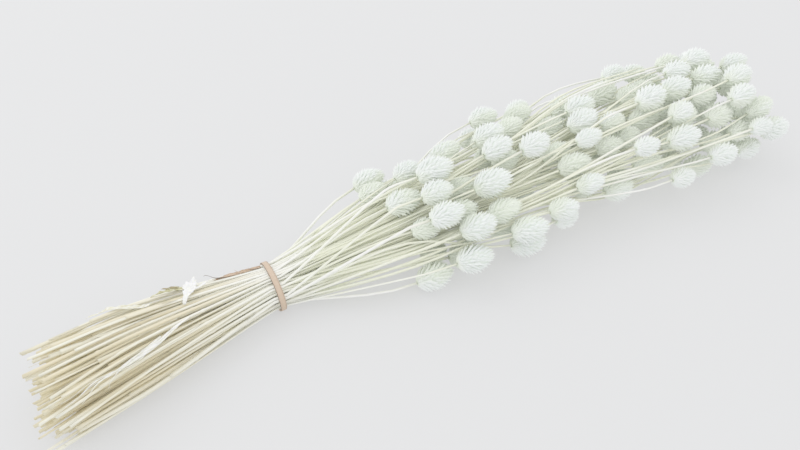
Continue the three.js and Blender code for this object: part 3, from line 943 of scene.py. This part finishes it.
leafLook = {
    "thickness": 0.2 * mm,
    "solidThickness": 0.7 * mm,
    "stations": 40,
    "steps": 40,
    "columns": 6,
    "narrowing": 0.85,
    "ripples": ((0.12, 31, 1), (0.07, 77, 2)),  # height, waves along the leaf and shift from strip to strip
    "cupMiddle": 0.3,
    "waveAlong": 24,
    "waveAcross": 2.5,
    "stripShift": 1.7,
    "veinRange": (0.35, 0.65),
    "agedRange": (0.6, 1.0),
    "blotchRange": (0.55, 0.72, 0.0, 0.5),
    "blotchScale": (140.0, 220.0, 220.0),
    "veinScale": (120.0, 1500.0),  # along the veins, and what is added across them
    "roughness": (0.45, 0.7),
    "bump": (0.3 * mm, 0.6),
    "glow": 0.3,
    "glowRadius": (0.6 * mm, 0.6 * mm, 0.4 * mm),
}
leaves = {
    "brown_sheath": {
        "course": ((-3.6, 12.5, 2.2, 0), (-16, 12.5, 4, 8), (-29, 13.5, 4.6, 14), (-36, 13.5, 3.4, 20),
                   (-43, 15.5, 1.2, 20)),
        "slot": "brown_leaf", "cup": 0.35, "wave": 0.12,
        "colours": ((0.38, 0.24, 0.14), (0.58, 0.42, 0.29), (0.12, 0.08, 0.055)),
        "strips": (
            (0.0, 0.80, -1.0, 0.35, (-1, -2.5, -0.2), 0.35),
            (0.0, 0.62, 0.25, 0.9, (-1, 0, 0.2), 0.55),
            (0.52, 1.0, 0.0, 1.0, (0, 0, 0), 0.95),
            (0.22, 0.40, 0.6, 1.0, (2, 3.2, 1.6), 0.1),
            (0.05, 0.20, 0.4, 1.0, (1, 2.2, 1.0), 0.9),
        ),
    },
    "white_leaf": {
        "course": ((-62, -6, 1.6, 0), (-57, 1, 6, 6), (-54, 8, 9, 10), (-51, 13, 7, 10), (-49, 17, 1.4, 10)),
        "slot": "white_leaf", "cup": 0.22, "wave": 0.3,
        "colours": ((0.86, 0.87, 0.82), (0.95, 0.95, 0.93), (0.72, 0.73, 0.62)),
        "strips": (
            (0.0, 1.0, -1.0, 1.0, (0, 0, 0), 0.3),
            (0.25, 0.62, -1.0, -0.3, (9, -2, 0.4), 0.5),
        ),
    },
    "olive_leaf": {
        "course": ((-58, 10, 2, 0), (-65, 12.5, 5, 22), (-73, 12.5, 4.6, 34), (-81, 10.5, 1.4, 20)),
        "slot": "olive_leaf", "cup": 0.7, "wave": 0.25,
        "colours": ((0.45, 0.42, 0.19), (0.70, 0.69, 0.44), (0.25, 0.19, 0.08)),
        "strips": (
            (0.0, 1.0, -1.0, 1.0, (0, 0, 0), 0.5),
            (0.15, 0.7, -1.0, -0.4, (2, 1.0, 1.4), 0.9),
        ),
    },
    "pale_blade": {
        "course": ((-82, 3, 2, 0), (-94, 7, 3.4, 6), (-107, 11, 3.2, 10), (-122, 15, 1, 10)),
        "slot": "white_leaf", "cup": 0.5, "wave": 0.25,
        "colours": ((0.70, 0.67, 0.46), (0.90, 0.90, 0.80), (0.45, 0.38, 0.21)),
        "strips": ((0.0, 1.0, -1.0, 1.0, (0, 0, 0), 0.4),),
    },
    "frayed_leaf": {
        "course": ((-62, -20, 2, 0), (-84, -31, 5, -8), (-104, -40, 5, -6), (-126, -46, 3.4, 0),
                   (-146, -55, 1.2, 0)),
        "slot": "white_leaf", "cup": 0.3, "wave": 0.2,
        "colours": ((0.80, 0.80, 0.66), (0.94, 0.94, 0.88), (0.62, 0.61, 0.40)),
        "strips": (
            (0.0, 0.50, -0.55, 0.45, (0, 0, 0), 0.3),
            (0.10, 0.72, 0.2, 0.75, (-1, 2, 0.3), 0.5),
            (0.12, 1.0, -0.35, 0.05, (0, 0, 0), 0.2),
            (0.22, 0.9, -0.95, -0.55, (4, -5, 0.2), 0.7),
            (0.30, 0.96, 0.45, 0.7, (-3, 4, 0.4), 0.1),
            (0.35, 0.80, -0.8, -0.62, (12, -7, 0.2), 0.4),
            (0.40, 1.0, 0.8, 0.98, (2, 2, 0.6), 0.6),
        ),
    },
}


def leafMaterial(name, colours, veinScale):
    # Fine parallel veins in two colours, and dark blotches where the leaf has aged
    body, pale, dark = colours
    material, tree, shader = newMaterial(name.replace("_", " "))
    veins = stretchedNoise(tree, veinScale)
    blotches = stretchedNoise(tree, leafLook["blotchScale"], detail=4.0)
    colour = mixColours(tree, mapRange(tree, veins, *leafLook["veinRange"]), body, pale)
    aged = mapRange(tree, readAttribute(tree, "tone"), *leafLook["agedRange"])
    spotted = mapRange(tree, blotches, *leafLook["blotchRange"])
    share = calculate(tree, "MINIMUM", calculate(tree, "ADD", aged, spotted), 1.0)
    colour = mixColours(tree, share, colour, dark)
    tree.links.new(colour, shader.inputs["Base Color"])
    varyRoughness(tree, shader, veins, leafLook["roughness"])
    shader.inputs["Subsurface Weight"].default_value = leafLook["glow"]
    shader.inputs["Subsurface Radius"].default_value = leafLook["glowRadius"]
    shader.inputs["Subsurface Scale"].default_value = 1.0
    addBump(tree, shader, veins, *leafLook["bump"])
    return material


def leafStations(name, plan):
    # Where the leaf's solid lies along its course: middle, direction across, and half width
    solid = bmesh.new()
    solid.from_mesh(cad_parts[name].data)
    surface = BVHTree.FromBMesh(solid)
    solid.free()
    places, widths, rolls = [], [], []
    for along, across, width, roll in plan["course"]:
        places.append(Vector((bandMiddle.x + along * mm, bandMiddle.y + across * mm, 0)))
        widths.append(width * mm / 2)
        rolls.append(math.radians(roll))
    perSegment = leafLook["stations"] // (len(places) - 1)
    halves = smoothCourse(places, widths, perSegment, shortest=0)
    turns = smoothCourse(places, rolls, perSegment, shortest=0)
    stations = []
    for index, ((place, half), (_, roll)) in enumerate(zip(halves, turns)):
        before = halves[max(index - 1, 0)][0]
        after = halves[min(index + 1, len(halves) - 1)][0]
        tangent = (after - before).normalized()
        hit = surface.ray_cast(place + Vector((0, 0, 1)), Vector((0, 0, -1)))[0]
        if hit is None:
            hit = surface.find_nearest(place + Vector((0, 0, bandHigh.z)))[0]
        height = hit.z - leafLook["solidThickness"] / 2
        across = Vector((-tangent.y * math.cos(roll), tangent.x * math.cos(roll), math.sin(roll)))
        stations.append((Vector((place.x, place.y, height)), across, half))
    # The steps of the solid's facets are smoothed out
    heights = [place.z for place, across, half in stations]
    for index in range(1, len(stations) - 1):
        stations[index][0].z = (heights[index - 1] + 2 * heights[index] + heights[index + 1]) / 4
    return stations


def stationAt(stations, share):
    along = min(max(share, 0.0), 1.0) * (len(stations) - 1)
    index = min(int(along), len(stations) - 2)
    rest = along - index
    first, second = stations[index], stations[index + 1]
    return (first[0].lerp(second[0], rest), first[1].lerp(second[1], rest).normalized(),
            first[2] + (second[2] - first[2]) * rest)


def addStrip(piece, plan, stations, strip, phase):
    start, end, left, right, stray, tone = strip
    sheet = bmesh.new()
    bmesh.ops.create_grid(sheet, x_segments=leafLook["columns"], y_segments=leafLook["steps"], size=1.0)
    for vert in sheet.verts:
        run = (vert.co.y + 1) / 2
        share = start + (end - start) * run
        taper = 1 - leafLook["narrowing"] * run ** 5
        ripple = 1.0
        for height, waves, shift in leafLook["ripples"]:
            ripple += height * math.sin(share * waves + phase * shift)
        aside = (left + right) / 2 + (right - left) / 2 * vert.co.x * taper * ripple
        place, across, half = stationAt(stations, share)
        lift = plan["cup"] * half * (aside * aside - leafLook["cupMiddle"])
        wave = math.sin(share * leafLook["waveAlong"] + aside * leafLook["waveAcross"] + phase)
        lift += plan["wave"] * mm * wave
        vert.co = place + across * half * aside + Vector((0, 0, lift)) + Vector(stray) * mm * run * run
    giveThickness(sheet, leafLook["thickness"])
    addTo(piece, sheet, tone)


def makeLeaf(name, plan):
    stations = leafStations(name, plan)
    piece = newPiece()
    for number, strip in enumerate(plan["strips"]):
        addStrip(piece, plan, stations, strip, number * leafLook["stripShift"])
    # The veins run along the leaf, so they lie closest together across it
    direction = (stations[-1][0] - stations[0][0]).normalized()
    least, added = leafLook["veinScale"]
    veinScale = tuple(least + added * (1 - abs(part)) for part in direction)
    material = leafMaterial(name, plan["colours"], veinScale)
    finishPiece(piece, name + "_blade", [material], name)


for leafName, leafPlan in leaves.items():
    makeLeaf(leafName, leafPlan)
print("loose leaves made")


# Stage, light and camera

stagePlan = {
    "floorSize": 8.0,
    "floorColour": (0.34, 0.345, 0.35),
    "floorShade": 0.985,
    "floorScale": (1.2, 1.2, 1.2),
    "floorRoughness": 0.9,
    "floorShine": 0.2,
    "floorGlow": 0.35,
    "skyColour": (0.80, 0.80, 0.81),
    "skyStrength": 1.2,
    "keyEnergy": 8.0,
    "keySize": 1.6,
    "keyPlace": (-0.7, 1.3, 1.9),
    "gamma": 1.5,
}


def makeFloor():
    sheet = bmesh.new()
    bmesh.ops.create_grid(sheet, x_segments=1, y_segments=1, size=stagePlan["floorSize"] / 2)
    mesh = bpy.data.meshes.new("floor")
    sheet.to_mesh(mesh)
    sheet.free()
    material, tree, shader = newMaterial("pale floor")
    cloud = stretchedNoise(tree, stagePlan["floorScale"], detail=1.0)
    shade = tuple(value * stagePlan["floorShade"] for value in stagePlan["floorColour"])
    tree.links.new(mixColours(tree, cloud, shade, stagePlan["floorColour"]), shader.inputs["Base Color"])
    shader.inputs["Roughness"].default_value = stagePlan["floorRoughness"]
    shader.inputs["Specular IOR Level"].default_value = stagePlan["floorShine"]
    shader.inputs["Emission Color"].default_value = (1.0, 1.0, 1.0, 1.0)
    shader.inputs["Emission Strength"].default_value = stagePlan["floorGlow"]
    mesh.materials.append(material)
    floor = bpy.data.objects.new("floor", mesh)
    bpy.context.scene.collection.objects.link(floor)


def makeLight():
    world = bpy.data.worlds.new("studio")
    world.use_nodes = True
    sky = world.node_tree.nodes["Background"]
    sky.inputs["Color"].default_value = (*stagePlan["skyColour"], 1.0)
    sky.inputs["Strength"].default_value = stagePlan["skyStrength"]
    bpy.context.scene.world = world
    key = bpy.data.lights.new("key", "AREA")
    key.energy = stagePlan["keyEnergy"]
    key.shape = "DISK"
    key.size = stagePlan["keySize"]
    lamp = bpy.data.objects.new("key", key)
    lamp.location = stagePlan["keyPlace"]
    lamp.rotation_euler = (-lamp.location).to_track_quat("-Z", "Y").to_euler()
    bpy.context.scene.collection.objects.link(lamp)


cameraPlan = {
    "frameWidth": 800,
    "frameHeight": 450,
    "focalPixels": 700,
    "elevation": 42.4,
    "azimuth": -28.0,
    "bandPixelX": 273,
    "bandPixelY": 285,
    "bandDepth": 0.5,
    "aimHeight": 0.016,
    "sensorWidth": 36.0,
    "nearest": 0.01,
}


def makeCamera():
    # The band's middle lies at its own pixel in the picture, the band's depth in front of the lens
    elevation = math.radians(cameraPlan["elevation"])
    azimuth = math.radians(cameraPlan["azimuth"])
    right = Vector((math.cos(azimuth), math.sin(azimuth), 0))
    level = Vector((-math.sin(azimuth), math.cos(azimuth), 0))
    forward = level * math.cos(elevation) - Vector((0, 0, math.sin(elevation)))
    up = right.cross(forward)
    perPixel = cameraPlan["bandDepth"] / cameraPlan["focalPixels"]
    aside = (cameraPlan["bandPixelX"] - cameraPlan["frameWidth"] / 2) * perPixel
    above = (cameraPlan["frameHeight"] / 2 - cameraPlan["bandPixelY"]) * perPixel
    aim = Vector((bandMiddle.x, bandMiddle.y, cameraPlan["aimHeight"]))
    lens = bpy.data.cameras.new("camera")
    lens.sensor_width = cameraPlan["sensorWidth"]
    lens.lens = lens.sensor_width * cameraPlan["focalPixels"] / cameraPlan["frameWidth"]
    lens.clip_start = cameraPlan["nearest"]
    camera = bpy.data.objects.new("camera", lens)
    turn = Matrix((right, up, -forward)).transposed().to_4x4()
    place = aim - right * aside - up * above - forward * cameraPlan["bandDepth"]
    camera.matrix_world = Matrix.Translation(place) @ turn
    bpy.context.scene.collection.objects.link(camera)
    bpy.context.scene.camera = camera


makeFloor()
makeLight()
makeCamera()
bpy.context.scene.view_settings.view_transform = "Standard"
bpy.context.scene.view_settings.gamma = stagePlan["gamma"]
print("stage, light and camera set")
